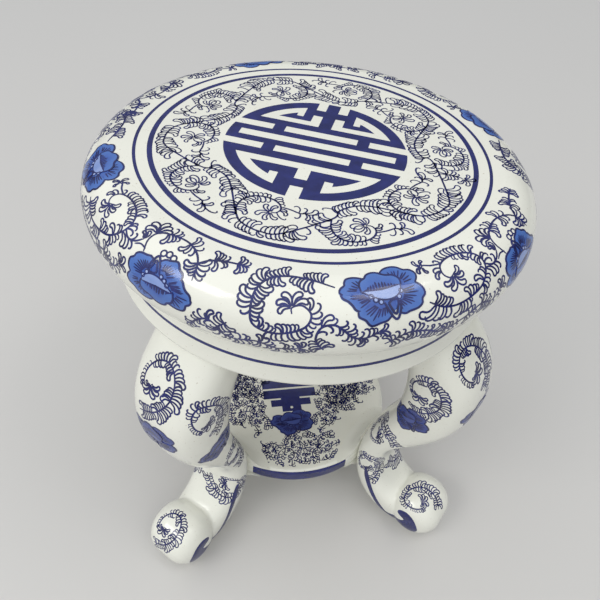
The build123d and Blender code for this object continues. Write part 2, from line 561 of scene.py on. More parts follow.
def walked(tree, place):
    """Lays a drawing on a solid around one place on it, by walking over the surface to each of its points."""
    middle, facing, _, _ = tree.find_nearest(place)
    up = (Vector((0, 0, 1)) - facing * facing.z).normalized()
    across = up.cross(facing)

    def find(x, y):
        spot, normal = middle, facing
        way = across * x + up * y
        far = way.length
        steps = max(1, math.ceil(far / walk_step))
        for _ in range(steps):
            way = (way - normal * way.dot(normal)).normalized()
            spot, normal = tree.find_nearest(spot + way * (far / steps))[:2]
        return spot, normal
    return point_by_point(find)


def pressed(tree, turn, side, press_room=12):
    """Presses a drawing straight onto one side of a leg, 1 for the right seen from outside. Its x is reach,
    whatever the sign, so that a mirrored drawing lands in the same place."""
    a = math.radians(turn)
    ahead = Vector((math.cos(a), math.sin(a), 0))
    right = Vector((-math.sin(a), math.cos(a), 0))
    shift = foot_shift if side > 0 else 0.0

    def find(x, y):
        start = ahead * (abs(x) + shift) + right * side * rim_radius + Vector((0, 0, y))
        hit, normal, _, _ = tree.ray_cast(start, -right * side)
        if hit is None:
            hit, normal, _, _ = tree.find_nearest(start - right * side * (rim_radius - press_room))
        return hit, normal
    return point_by_point(find)


def coat(drawing, wrap, lift, first):
    """Corners and faces of a closed coat of paint from one drawing. The corners are counted from first."""
    places, outward = wrap(np.array(drawing.points))
    count = len(places)
    upper = places + outward * (paint_proud + lift)
    lower = places - outward * paint_sunk
    faces, edges = [], {}
    for face in drawing.faces:
        a, b, c = (upper[face[k]] for k in (0, 1, 2))
        if np.dot(np.cross(b - a, c - a), outward[face[0]]) < 0:
            face = face[::-1]
        face = tuple(first + i for i in face)
        faces.append(face)
        faces.append(tuple(count + i for i in reversed(face)))
        edges.update(dict.fromkeys(zip(face, face[1:] + face[:1])))
    faces += [(j, i, i + count, j + count) for i, j in edges if (j, i) not in edges]
    return np.vstack([upper, lower]), faces


def painted_piece(name, parts, paint):
    """One piece of paint from drawings, their wraps and any further lift, a hair proud of the glaze."""
    corners, faces, tones = [], [], []
    for drawing, wrap, *lift in parts:
        if drawing.points:
            places, walls = coat(drawing, wrap, sum(lift), len(corners))
            corners.extend(places)
            faces.extend(walls)
            tones.extend(drawing.tones * 2)
    mesh = bpy.data.meshes.new(name)
    mesh.from_pydata([tuple(float(v) * MM for v in c) for c in corners], [], faces)
    wash = mesh.attributes.new("wash", "FLOAT", "POINT")
    wash.data.foreach_set("value", np.array(tones, np.float32))
    mesh.materials.append(paint)
    piece = add_object(name, mesh)
    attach(piece, "root")


# The motifs

# A hand-drawn ring is never quite round: waves round it, how far they go and where they start
ring_waves = [(3, 0.12, 0.7), (7, 0.08, 0.0)]
ring_inner_share = 0.6


def ring_drawing(radius, width, sides=240):
    flat = Drawing()
    turn = np.linspace(0, 2 * math.pi, sides, endpoint=False)
    wander = sum(depth * np.sin(waves * turn + start) for waves, depth, start in ring_waves)
    outer = radius + width / 2 + wander
    inner = radius - width / 2 + wander * ring_inner_share
    once_round = np.stack([np.cos(turn), np.sin(turn)], 1)
    points = np.vstack([once_round * outer[:, None], once_round * inner[:, None]])
    faces = [(i, (i + 1) % sides, sides + (i + 1) % sides, sides + i) for i in range(sides)]
    flat.add(points, faces)
    return flat


def inside(point, outline):
    x, y = point
    odd = False
    for (x1, y1), (x2, y2) in zip(outline, outline[1:] + outline[:1]):
        if (y1 > y) != (y2 > y) and x < (x2 - x1) * (y - y1) / (y2 - y1) + x1:
            odd = not odd
    return odd


def arc(radius, first, last, count):
    return [(radius * math.cos(a), radius * math.sin(a)) for a in np.radians(np.linspace(first, last, count))]


def box(left, low, right, high):
    return [(left, low), (right, low), (right, high), (left, high)]


def cut_shape(outline, openings, loose=(), weld=1e-4):
    """Flat faces of an outline with openings in it, and with loose points inside where it has to bend."""
    points, edges = [], []
    for loop in [outline] + openings:
        first = len(points)
        points.extend(Vector(p) for p in loop)
        edges.extend((first + i, first + (i + 1) % len(loop)) for i in range(len(loop)))
    points.extend(Vector(p) for p in loose)
    corners, _, faces, *_ = delaunay_2d_cdt(points, edges, [], 0, weld)
    kept = []
    for face in faces:
        middle = sum((corners[i] for i in face), Vector((0, 0))) / len(face)
        if inside(middle, outline) and not any(inside(middle, hole) for hole in openings):
            kept.append(tuple(face))
    return [tuple(c) for c in corners], kept


# White openings of the round fret: a long slot, two rows of slots, and hooks that turn back along a bar.
# A hook has its foot, its step and the heights of its bar. The lower one is drawn upside down.
fret_long_slot = (-42.2, -1.2, 42.2, 4.4)
fret_rows = [(9.2, 14.8), (-11.9, -6.3)]
fret_inner_slot = 20.0
fret_outer_slot = 26.5
fret_overrun = 2
upper_hook = (14.3, (18.0, 29.0), (20.4, 24.9))
upper_foot = [(9.0, 24.9), (9.0, 32.4), (3.6, 32.4), (3.6, 20.4)]
lower_hook = (11.8, (16.2, 30.0), (18.2, 23.2))
lower_foot = [(3.3, 23.2), (3.3, 32.2), (0.0, 32.2), (0.0, 18.2)]
fret_notches = [(3.6, 39.0, 9.0, 52.0), (0.0, -52.0, 3.3, -38.8)]


def hook_opening(radius, foot, step, bar):
    """A curved white band inside the frame that turns back along a bar: right half, pointing up."""
    inner = radius - fret_band
    start, stop = math.degrees(math.asin(bar[0] / radius)), math.degrees(math.acos(foot / radius))
    back, end = math.degrees(math.acos(step[0] / inner)), math.degrees(math.asin(bar[1] / inner))
    return arc(radius, start, stop, 16) + [(foot, step[1]), step] + arc(inner, back, end, 12)


def medallion_openings(radius):
    """The white openings of the round fret, mirrored left and right."""
    within = radius - fret_frame
    holes = [box(*fret_long_slot)]
    for low, high in fret_rows:
        holes.append(box(-fret_inner_slot, low, fret_inner_slot, high))
        holes.append(box(fret_outer_slot, low, radius + fret_overrun, high))
        holes.append(box(-radius - fret_overrun, low, -fret_outer_slot, high))
    upper = hook_opening(within, *upper_hook) + upper_foot
    lower = [(x, -y) for x, y in hook_opening(within, *lower_hook) + lower_foot]
    for side in (-1, 1):
        for hole in (upper, lower, *(box(*notch) for notch in fret_notches)):
            holes.append([(side * x, y) for x, y in hole])
    return holes


def medallion_drawing(radius, sides=144):
    """Round fret of straight bars and hooks, a common good-luck ornament."""
    flat = Drawing()
    outline = arc(radius, 0, 360 - 360 / sides, sides)
    points, faces = cut_shape(outline, medallion_openings(radius))
    flat.add(points, faces)
    return flat


# One bay of the running vine, with the stem below and its curl above: stems, then fronds of strokes as
# the run of their roots, the line of their tips, how many, and which way they hook (1 is to the left)
bend_points = [(10.5, -9.2), (1.5, -11.8), (-7, -10), (-12.7, -5.0)]
curl_points = [(-12.7, -5.0), (-15, 0), (-15.2, 5.5), (-12.5, 10.5), (-7.5, 12.8), (-2, 12.6), (2.2, 10.3),
               (4, 6.8), (3.0, 3.8), (0.6, 3.0)]
twig_points = [(3.4, 8.8), (8.5, 8.6), (13.0, 7.8), (15.5, 8.8)]
bay_fronds = [
    ([(-15.2, 1.5), (-15.2, 7.5)], [(-22.5, 0.5), (-20.0, 9.5)], 5, 1),
    ([(-13.0, -4.5), (-15.0, -0.5)], [(-18.5, -9.0), (-21.0, -1.0)], 5, 1),
    ([(0.5, -11.8), (-9.5, -8.3)], [(3.5, -17.0), (-9.5, -15.5)], 7, 1),
    ([(11.0, -8.5), (4.5, -11.0)], [(17.0, -15.0), (8.0, -17.0)], 5, 1),
    ([(-3.0, -10.8), (-9.0, -8.0)], [(-2.0, -5.0), (-8.5, -4.0)], 4, -1),
    ([(11.0, -8.5), (2.0, -11.0)], [(13.0, -0.8), (2.5, -6.0)], 6, -1),
    ([(-14.5, -1.5), (-15.3, 3.5)], [(-8.5, -1.2), (-11.0, 4.5)], 4, -1),
    ([(-14.5, 6.5), (-13.0, 10.0)], [(-9.5, 6.2), (-8.5, 10.2)], 3, -1),
    ([(-14.0, 9.0), (-4.0, 13.2)], [(-18.0, 12.8), (-4.5, 17.4)], 7, 1),
    ([(-9.5, 12.0), (-4.0, 12.8)], [(-6.5, 7.6), (-2.2, 9.0)], 3, -1),
    ([(3.8, 6.0), (-1.5, 12.7)], [(8.6, 4.8), (1.5, 17.0)], 7, -1),
    ([(15.0, 8.5), (12.0, 8.0)], [(21.0, 11.6), (10.0, 14.0)], 3, 1),
    ([(15.5, 8.8), (13.0, 7.8)], [(19.0, 5.2), (13.5, 2.6)], 2, -1),
]
curl_fan_size = 2.7
# A twig where two bays stand far apart
field_twig = [(59.5, -28.5), (64.0, -29.8), (68.5, -32.0), (70.5, -34.0)]
# Clusters on the waving stem between two bays, as shares of that run
link_shares = (0.28, 0.80)
field_spot_radii = (52, 82, 2.3)
field_spots_round = 170
# Circles that the leaves on the shelf keep clear of, close to its edge
shelf_clear_radii = (67.6, 69.2, 70.8, 72.4)
patch_spots_across = (-20, 20, 2.6)
patch_spots_along = (-17, 17, 2.6)


def bay_leaves(flat, put, hand):
    """Leaves of one bay, put in place by the same function as its stems."""
    before, end = put(curl_points[-2:])
    way = end - before
    flat.fan(end, math.atan2(way[1], way[0]), 5, 210, curl_fan_size * np.hypot(*way), hand)
    for roots, tips, count, hook in bay_fronds:
        flat.frond(put(roots), put(tips), count, hook * hand)


def field_put(azimuth, side):
    """Where a bay stands on the flat top: side 1 curls towards the middle, -1 towards the rim."""
    a = math.radians(azimuth)
    outward = np.array([math.sin(a), -math.cos(a)])

    def put(points):
        p = np.array(points, float)
        return outward * field_radius + p[:, :1] * ray(a) - p[:, 1:] * side * outward
    return put


def field_drawing():
    """The running vine on the flat top: one waving stem, with a curl in each bend."""
    flat = Drawing(top_pen)
    bays = [(field_put(azimuth, (-1) ** index), (-1) ** index) for index, azimuth in enumerate(scroll_places)]
    wave = Stem(np.vstack([put(bend_points) for put, _ in bays[::-1]]), closed=True)
    flat.stem(wave, stem_width, (1, 1))
    for put, _ in bays:
        flat.stem(Stem(put(curl_points)))
        flat.stem(Stem(put(twig_points)), twig_width)
    twig = Stem(field_twig)
    flat.stem(twig, twig_width)
    flat.fan(twig.path[-1], twig.at(math.inf)[1], 4, 150, 6.0)
    flat.sprays(twig, 1.2, 4, 5.6, 5.6, 25, 50, 4.0)
    for radius in (inner_ring_radius - 0.6 * inner_ring_width, medallion_radius + 0.8):
        flat.keep_clear(arc(radius, 0, 360, 400))
    for put, side in bays:
        bay_leaves(flat, put, side)
    for bay in range(len(bays)):
        for share in link_shares:
            flat.sprays(wave, 4 * bay + 3 + share, 5, 8.0, 7.4, 25, 62, 3.6)
    spots = [r * ray(a) for r in np.arange(*field_spot_radii)
             for a in np.linspace(0, 2 * math.pi, field_spots_round, endpoint=False)]
    flat.fill_in(spots, 3.6, 10.0)
    return flat


def patch_put(centre, turn, hand, size):
    """Where a small bay stands in a patch: hand -1 mirrors it."""
    return lambda points: placed(np.array(points) * np.array([hand, 1.0]), centre, size, turn)


def vine_patch(bays):
    """Bays of the vine set close together: each as centre, turn, hand and size."""
    flat = Drawing(shelf_pen, shelf_room)
    for radius in shelf_clear_radii:
        flat.keep_clear(arc(radius, 0, 360, 450))
    grown, spots = [], []
    for centre, turn, hand, size in bays:
        put = patch_put(centre, turn, hand, size)
        for points in (bend_points, curl_points, twig_points):
            flat.stem(Stem(put(points)), shelf_pen)
        grown.append((put, hand))
        spots.extend(put([(x, y) for x in np.arange(*patch_spots_across)
                          for y in np.arange(*patch_spots_along)]))
    for put, hand in grown:
        bay_leaves(flat, put, hand)
    flat.fill_in(spots, 2.2, 5.0)
    return flat


# Peony. Each petal: its scalloped edge, the root that its wash spreads from, and how many strokes it has.

peony_petals = {
    "right_back": ([(0.6, 9.8), (3.5, 12), (7.2, 12.7), (10.4, 12), (12.9, 9.9), (15.7, 9.1), (17.3, 7.0),
                    (17, 4.8), (15.4, 2.9)], (6.5, 3.0), 9),
    "left_back": ([(-6.5, 7.3), (-9.7, 8.3), (-12.6, 8.6), (-15.4, 7.9), (-16.4, 6.2), (-16.6, 4.7),
                   (-18.3, 3.4), (-18.9, 1.6), (-17.5, 0.6)], (-7.5, 2.0), 7),
    "left": ([(-18.5, 0.9), (-17.6, -0.9), (-15.4, -2.1), (-13.9, -3.6), (-12.5, -5.6), (-10.5, -6.4)],
             (-3, 0.0), 7),
    "low_left": ([(-11.6, -6.2), (-11.3, -8.4), (-8.7, -10), (-7.4, -11.8), (-5.8, -12.6), (-2.8, -11.6),
                  (0, -10.9), (2.4, -8.6)], (-0.5, -2.2), 8),
    "low_right": ([(15.2, 2.9), (17, 1.2), (17.9, -0.9), (17.8, -3), (16.1, -4.5), (15.7, -6.4), (13.5, -7.9),
                   (9.7, -8.5), (7.9, -9.1), (5.2, -8.2)], (3.5, -0.5), 10),
    "dome": ([(-9.6, 1.3), (-10.1, 4.5), (-9.1, 6.7), (-7.0, 7.9), (-6, 9.4), (-3.5, 10.5), (-0.6, 10.3),
              (1.6, 9.1), (3.5, 8.4), (6.6, 7.9), (8.5, 6.1), (8.6, 3.6), (7.8, 2.6)], (-0.4, 1.9), 0),
}
dome_base = [(-9.6, 1.3), (-4, 1.8), (2, 2.3), (7.8, 2.9)]
peony_heart = [(-9.0, 1.5), (-6.9, 0.2), (-2.8, -1.7), (0.9, -2.4), (4.7, -1.7), (7.5, 0.6), (8.0, 2.9)]
heart_root = (-0.5, 1.6)
peony_beads = [(-5.8, -0.6), (-4.0, -2.1), (-1.9, -3.2), (6.2, -1.9), (7.6, 0.4)]
peony_sepals = [[(-0.6, -3.6), (1.9, -8.8), (4.1, -10.9), (5.6, -8.2), (6.7, -3.2)],
                [(1.2, -4.0), (2.4, -6.8), (3.8, -8.8), (4.7, -6.4), (5.4, -3.2), (3.2, -2.7), (1.2, -4.0)]]
petal_rings = [0.0, 0.15, 0.3, 0.43, 0.55, 0.67, 0.78, 0.89, 1.0]
petal_step = 0.9
root_share = 0.02
wash_slip = (-0.35, -0.45)
# Tones of wash: 0 at the root of a petal, 1 at its edge, 2 on the pale beads
ground_tone = 0.35
heart_tone = 1.5
bead_tone = 2.0
bead_radius = 0.95
bead_line = 0.5
# Hatch strokes: step along them, width, and where they start and end from the root to the edge
stroke_step = 0.8
hatch_width = 0.65
hatch_start = 0.36
hatch_end = 0.77
hatch_wander = 0.08
dome_strokes = 13
dome_stroke_width = 0.95
dome_tip = 0.62
dome_ends = (0.55, 0.8)


def petal_fill(wash, edge, root):
    """Wash of one petal, spreading from its root to its edge."""
    points, tones = [], []
    for share in petal_rings:
        points.extend(root + (edge - root) * max(share, root_share))
        tones.extend([share] * len(edge))
    wash.add(points, grid_faces(len(petal_rings), len(edge)), tones)


def stroke(lines, start, end, width):
    lines.brush(even_path(np.array([start, end]), stroke_step), width, (1.0, 0.3))


def at_share(path, share):
    return path[int(share * (len(path) - 1))]


def hatch(lines, edge, root, strokes):
    """Strokes from the root of a petal towards its edge."""
    for share in np.linspace(0.1, 0.9, strokes):
        way = at_share(edge, share) - root
        end = hatch_end + chance.uniform(-hatch_wander, hatch_wander)
        stroke(lines, root + way * hatch_start, root + way * end, hatch_width)


def dome_lines(lines, edge, root, base):
    """Line at the foot of the front dome, and strokes that rise from it."""
    lines.brush(base, line_width * 1.2, (0.7, 0.7))
    for share in np.linspace(0.04, 0.96, dome_strokes):
        foot = at_share(base, share)
        tip = root + (at_share(edge, share) - root) * dome_tip
        stroke(lines, foot, foot + (tip - foot) * chance.uniform(*dome_ends), dome_stroke_width)


def peony_ground(centre, size, turn):
    """Wash under the whole flower."""
    ground = Drawing()
    rim = [p for name in ("left_back", "left", "low_left", "low_right") for p in peony_petals[name][0]]
    rim += peony_petals["right_back"][0][::-1] + peony_petals["dome"][0][3:7][::-1]
    ground.fill(placed(rim, np.array(centre) + np.array(wash_slip), size, turn), ground_tone)
    return ground, Drawing()


def peony_petal(name, put):
    edge, root, strokes = peony_petals[name]
    wash, lines = Drawing(), Drawing()
    edge = smooth_path(put(edge), petal_step)
    root = put([root])[0]
    petal_fill(wash, edge + np.array(wash_slip), root)
    lines.brush(edge, line_width, (0.7, 0.7))
    hatch(lines, edge, root, strokes)
    if name == "dome":
        dome_lines(lines, edge, root, smooth_path(put(dome_base)))
    return wash, lines


def peony_middle(put, size):
    """The heart of the flower with its beads, and the sepals below it."""
    heart, lines = Drawing(), Drawing()
    edge = smooth_path(put(peony_heart), petal_step)
    petal_fill(heart, edge, put([heart_root])[0])
    heart.tones = [heart_tone] * len(heart.tones)
    lines.brush(edge, line_width * 0.6, (0.6, 0.6))
    for bead in put(peony_beads):
        heart.disc(bead, bead_radius * size, bead_tone)
        lines.brush(bead + circle(11, bead_radius * size), bead_line, (1, 1))
    for sepal in peony_sepals:
        lines.brush(smooth_path(put(sepal)), line_width, (0.8, 0.8))
    return heart, lines


def peony(centre, size=1.0, turn=0.0):
    """A peony as layers of wash and line, from the petals at the back to those in front."""
    def put(points):
        return placed(points, centre, size, turn)
    layers = [peony_ground(centre, size, turn)]
    layers += [peony_petal(name, put) for name in peony_petals]
    return layers + [peony_middle(put, size)]


# The rim: one panel with a high and a low peony and their vines, repeated round the seat

high_flower = (0.0, -20.0)
low_flower = (81.0, -32.0)
low_flower_size = 0.92
flower_reach = (18.5, 12.0)
crown_beads = [(-2.8, 12.0), (0.0, 12.7), (2.8, 12.0)]
crown_bead_radius = 1.4
crown_line = 0.85
rim_stems = {
    "right": [(19, -27), (25, -30.6), (32.5, -32), (41, -31), (47.5, -28.7), (52.5, -23.7), (53.7, -18.7),
              (51, -14.4), (45, -11.5), (37.5, -11), (31.5, -13.2), (30, -17.3), (32.5, -20), (35.5, -18.8)],
    "left": [(-20.5, -16), (-30, -13), (-40, -11.9), (-48.5, -14.4), (-53, -20), (-53.7, -27.5), (-52, -34.5),
             (-45, -37.3), (-37.5, -36), (-31.5, -32.5), (-30, -27.5), (-33.7, -24.3), (-37.7, -25.5),
             (-37.5, -28)],
    "arch": [(69, -24), (67, -18), (69, -13), (76, -10.3), (84, -10), (91, -13), (95, -18), (96, -25)],
    "right_branch": [(53, -21), (57.5, -23.5), (62, -22.5), (65, -19.5)],
    "arch_branch": [(95, -17), (99, -14), (105, -12), (112, -11.2), (117, -11.6)],
    "low_sprig": [(-24, -45), (-27.5, -39), (-26, -33), (-21, -31.5), (-17, -34), (-13, -37.5), (-8, -38),
                  (-3, -35.5)],
    "under_left": [(-62, -37), (-66, -42), (-60, -46), (-50, -44), (-42, -47), (-33, -45)],
    "under_far": [(-65.5, -41), (-70, -38.5), (-74.5, -41), (-77.5, -45)],
    "under_right": [(0, -43), (9, -38.5), (18, -40), (26, -44), (36, -41), (46, -37.5), (54, -40), (59, -36)],
    "right_twig": [(32.5, -12.6), (27, -11.8), (23.5, -10.6), (22.0, -11.5)],
    "arch_hook": [(69, -22.5), (65.5, -22.0), (62.5, -23.5)],
}
rim_stem_widths = {"right_twig": twig_width, "arch_hook": 0.8}
low_stems = ["low_sprig", "under_left", "under_far", "under_right"]
sprig_fan = ((-26, -33), 1.8, 5, 80, 8.2)
# Leaves in the order in which they are set: what is drawn, on which stem, and then what its method asks for
rim_leaves = [
    ("feather", "right", 7.0, 9.3, -1, 5.0, 1, 15),
    ("spray", "right", 10.0, -1, 6, 5.0, -1, 10, 40, 7.0),
    ("tuft", "right", 12.6, -1.4, 6, 200, 6.6),
    ("spray", "right", 0.95, 1, 6, 6.2, 1, 30, 30, 8.0),
    ("spray", "right", 1.0, -1, 5, 9.0, 1, -10, 20, 7.0),
    ("spray", "right", 2.5, -1, 5, 7.0, 1, -5, 30, 6.0),
    ("spray", "right", 3.1, 1, 4, 5.4, 1, 25, 40, 4.5),
    ("spray", "right", 4.6, 1, 5, 5.6),
    ("spray", "right", 4.3, -1, 4, 5.0, 1, 10, 40, 4.0),
    ("spray", "right", 5.5, -1, 5, 6.6, 1, 20, 55, 4.5),
    ("spray", "right", 6.7, 1, 4, 5.0, 1, 10, 45, 4.5),
    ("spray", "right", 8.2, 1, 4, 4.2, 1, 10, 40, 5.0),
    ("tuft", "right_twig", 2.6, 3.0, 4, 200, 4.6),
    ("sprays", "right_branch", 1.2, 4, 5.6, 5.6, 30, 50, 4.0),
    ("tuft", "right_branch", 2.9, 1.0, 4, 120, 4.8),
    ("tuft", "arch", 1.7, 2.2, 6, 150, 7.6),
    ("sprays", "arch", 2.8, 4, 5.6, 5.8, 30, 50, 4.0),
    ("sprays", "arch", 4.5, 5, 6.0, 5.6, 30, 50, 4.5),
    ("sprays", "arch", 6.3, 5, 6.4, 6.4, 30, 50, 5.0),
    ("sprays", "arch_branch", 1.7, 5, 5.6, 5.6, 40, 45, 5.0),
    ("sprays", "arch_branch", 3.3, 4, 4.8, 4.8, 45, 45, 4.5),
    ("feather", "left", 6.9, 8.6, -1, 4.8, -1, 5),
    ("spray", "left", 9.5, -1, 7, 5.6, -1, 5, 60, 8.0),
    ("tuft", "left", 12.0, 1.7, 6, 190, 7.2),
    ("spray", "left", 0.9, -1, 6, 5.8, 1, 30, 35, 7.0),
    ("spray", "left", 1.4, 1, 6, 6.4, 1, 20, 30, 8.0),
    ("spray", "left", 2.5, -1, 6, 5.6, 1, 30, 35, 7.0),
    ("spray", "left", 2.8, 1, 4, 5.4, 1, 20, 40, 4.5),
    ("spray", "left", 3.6, -1, 5, 7.4, 1, 10, 60, 4.5),
    ("spray", "left", 4.2, 1, 5, 6.2, 1, 15, 50, 5.0),
    ("spray", "left", 4.9, -1, 5, 7.2, 1, 10, 50, 5.0),
    ("spray", "left", 5.3, 1, 4, 5.6, 1, 15, 45, 4.0),
    ("spray", "left", 6.7, 1, 5, 4.8, 1, 15, 40, 6.0),
    ("spray", "left", 8.0, 1, 5, 4.8, 1, 15, 40, 6.0),
]


def rim_panel_lines():
    """The vines of one panel, with room left for its two flowers."""
    flat = Drawing(rim_pen)
    stems = {name: Stem(points) for name, points in rim_stems.items()}
    for name, stem in stems.items():
        flat.stem(stem, rim_stem_widths.get(name, stem_width))
    for bead in crown_beads:
        flat.brush(circle(15, crown_bead_radius) + np.array(low_flower) + np.array(bead), crown_line, (1, 1))
    for flower, size in ((high_flower, 1.0), (low_flower, low_flower_size)):
        for share in (0.6, 0.85, 1.0):
            flat.keep_clear(circle(60) * np.array(flower_reach) * size * share + np.array(flower))
    for kind, name, *values in rim_leaves:
        getattr(flat, kind)(stems[name], *values)
    flat.fan(*sprig_fan)
    for name in low_stems:
        count = len(rim_stems[name])
        for knot in np.arange(0.5, count - 1.4, 0.95):
            flat.sprays(stems[name], knot, 4, 5.2, 5.2, 25, 45, 4.5)
        flat.fan(*stems[name].at_knot(count - 1.1), 5, 160, 5.4)
    return flat


# Scroll with a curled end, painted on the legs: its stem, then the knot and length of each comb of strokes

comma_scroll = [(-12.5, -21.6), (-4.5, -18.2), (2.3, -13.6), (7.4, -6.8), (10.2, 1.1), (9.1, 10.2),
                (4.5, 17.6), (-2.3, 21), (-9.7, 18.2), (-14.2, 11.4), (-15, 4), (-12.5, -0.9), (-8.5, 0),
                (-6.2, 2.8)]
outer_combs = [(1.0, 8.4), (2.7, 10.0), (4.4, 9.6), (5.9, 8.2), (7.5, 7.0)]
inner_combs = [(1.0, 7.4), (2.7, 7.0), (4.3, 8.2), (6.5, 6.8), (8.0, 6.0)]
large_scroll = 0.75
foot_comma = [(101, 12.5), (107, 12), (113, 14), (118.2, 17.6), (118, 20), (112.6, 22.4), (114, 26),
              (119, 28), (124.5, 26), (128.5, 20.5), (130, 14.5), (126.5, 9), (117, 6.5), (108, 6.8),
              (101.5, 9)]
shin_line = [(81, 50), (83, 42), (86.5, 33), (91, 24.5), (96.5, 17), (103, 10.5)]
shin_line_width = 3.6


def comma_drawing(size, turn):
    """A curling stem with close combs of strokes on both sides and a small palmette at its end."""
    flat = Drawing(leg_pen * size, leg_room)
    count = 6 if size > large_scroll else 5
    stem = Stem(placed(comma_scroll, (0, 0), size, turn))
    flat.stem(stem)
    for knot, length in outer_combs:
        flat.spray(stem, knot, -1, count, length * size, 1, 5, 38, 9.0 * size)
    flat.spray(stem, 9.6, -1, 7, 4.6 * size, -1, 0, 40, 12.0 * size)
    for knot, length in inner_combs:
        flat.spray(stem, knot, 1, count - 1, length * size, 1, 0, 34, 7.5 * size)
    flat.tuft(stem, 12.6, math.radians(turn - 85), 6, 170, 9.0 * size)
    return flat


def foot_drawing(hand):
    """The blue line down the back of the shin, which ends in a hooked comma on the side of the foot."""
    flat = Drawing()
    mirror = np.array([hand, 1.0])
    flat.brush(smooth_path(shin_line, 1.0) * mirror, shin_line_width, (0.3, 1.0), columns=6)
    flat.fill(smooth_path(foot_comma + foot_comma[:1], 1.2)[:-1] * mirror)
    return flat


def leg_place(turn, reach, aside, height):
    """A place by a leg: reach from the stool's middle, sideways to the right from outside, and height."""
    return Vector((*placed([(reach, aside)], (0, 0), 1.0, turn)[0], height))


# The shelf: the lower half of its fret, right side, as two bars on a broad stem, and the middles of the bays
# in its patches of vine
shelf_bars = [(0, -0.8), (20, -0.8), (20, -8.6), (7.2, -8.6), (7.2, -10), (15, -10), (15, -16), (7.2, -16),
              (7.2, -21)]
shelf_eye_drop = 17.6
shelf_eye_radius = 1.1
shelf_fret_middle = (-1.5, 0.0)
shelf_patches = [(-18, -53), (-6, -50), (7, -49), (19, -50), (-12, -59), (2, -58), (15, -58), (-27, -28),
                 (-31, -14), (-41, -19), (-31, -1), (-43, -6), (-45, 9), (-34, 12), (20, -31), (25, -19),
                 (38, -17), (28, -3), (41, -4), (58, -4)]
shelf_bay_size = 0.48
shelf_bay_turn = 67.0
shelf_bays = [(middle, shelf_bay_turn * i, 1 - 2 * (i % 2), shelf_bay_size)
              for i, middle in enumerate(shelf_patches)]


def shelf_edge_band(high, columns=61, rows=33):
    """A broad blue band on the shelf's edge, a little lower towards the legs."""
    flat = Drawing()
    angles = np.linspace(*shelf_band_angles, columns)
    tops = high - shelf_band_fall * (angles / angles[0]) ** 2
    across = np.radians(angles) * shelf_radius
    levels = [shelf_band_low + (tops - shelf_band_low) * part for part in np.linspace(0, 1, rows)]
    faces = [(a, d, c, b) for a, b, c, d in grid_faces(rows, columns)]
    flat.add(np.vstack([np.stack([across, level], 1) for level in levels]), faces)
    return flat


def shelf_fret():
    """Straight bars on a broad stem, the same above and below, with a small white eye in each stem."""
    flat = Drawing()
    eye = [(x, y - shelf_eye_drop) for x, y in arc(shelf_eye_radius, 0, 330, 12)]
    outline = shelf_bars + [(-x, y) for x, y in reversed(shelf_bars[1:])]
    for way in (1, -1):
        points, faces = cut_shape([(x, way * y) for x, y in outline], [[(x, way * y) for x, y in eye]])
        flat.add(points, faces)
    return flat


# Materials. Each noise of the fired glaze: its output, its input for the size, that size, and its detail.

glaze_noises = [("Drift", "Drift size", 18.0, 3.0), ("Pins", "Pin size", 900.0, 1.0),
                ("Ripple", "Ripple size", 60.0, 2.0)]
glaze_gloss = {"Coat Weight": 0.15, "Coat Roughness": 0.04, "IOR": 1.5}
line_tones = [(0.004, 0.006, 0.06), (0.012, 0.02, 0.15)]
solid_tones = [(0.006, 0.010, 0.09), (0.013, 0.020, 0.15)]
# Washes: tones from the root of a petal to its edge, then that of the pale beads, and the streaks
wash_stops = (0.2, 0.35, 0.5, 0.9)
petal_tones = [(0.021, 0.052, 0.27), (0.031, 0.083, 0.345), (0.045, 0.118, 0.40), (0.060, 0.146, 0.435),
               (0.34, 0.42, 0.68)]
petal_streak = (0.09, 0.185, 0.47)
# Painted shade: the same washes made darker for the flowers on the legs and the shelf, which stand in shade
# under the seat
shaded_petal_tones = [(0.012, 0.022, 0.14), (0.016, 0.03, 0.18), (0.022, 0.042, 0.22), (0.03, 0.055, 0.25),
              (0.05, 0.08, 0.30)]
shaded_petal_streak = (0.035, 0.06, 0.25)


def ranged(tree, socket, values):
    """A value brought into another range."""
    node = add_node(tree, "ShaderNodeMapRange", values)
    tree.links.new(socket, node.inputs["Value"])
    return node.outputs["Result"]


def mixed(tree, factor, first, second):
    """A mix of two colours, each given as a colour or a socket."""
    node = add_node(tree, "ShaderNodeMix", data_type="RGBA")
    tree.links.new(factor, node.inputs["Factor"])
    for socket, value in ((node.inputs[6], first), (node.inputs[7], second)):
        if isinstance(value, tuple):
            socket.default_value = (*value, 1.0)
        else:
            tree.links.new(value, socket)
    return node.outputs[2]


def speckle_group():
    """Fine unevenness of a fired glaze: slow drift of tone, tiny pin marks and a faint ripple."""
    tree = bpy.data.node_groups.new("Fired glaze", "ShaderNodeTree")
    for _, size, value, _ in glaze_noises:
        tree.interface.new_socket(size, in_out="INPUT", socket_type="NodeSocketFloat").default_value = value
    for name, _, _, _ in glaze_noises:
        tree.interface.new_socket(name, in_out="OUTPUT", socket_type="NodeSocketFloat")
    given = add_node(tree, "NodeGroupInput")
    result = add_node(tree, "NodeGroupOutput")
    place = add_node(tree, "ShaderNodeTexCoord")
    link = tree.links.new
    for name, size, _, detail in glaze_noises:
        noise = add_node(tree, "ShaderNodeTexNoise", {"Detail": detail})
        link(place.outputs["Object"], noise.inputs["Vector"])
        link(given.outputs[size], noise.inputs["Scale"])
        found = noise.outputs["Fac"]
        if name == "Pins":
            found = ranged(tree, found, {"From Min": 0.72, "From Max": 0.80})
        link(found, result.inputs[name])
    return tree


def new_material(name):
    made = bpy.data.materials.new(name)
    made.use_nodes = True
    tree = made.node_tree
    shader = next(n for n in tree.nodes if n.type == "BSDF_PRINCIPLED")
    return made, tree, shader


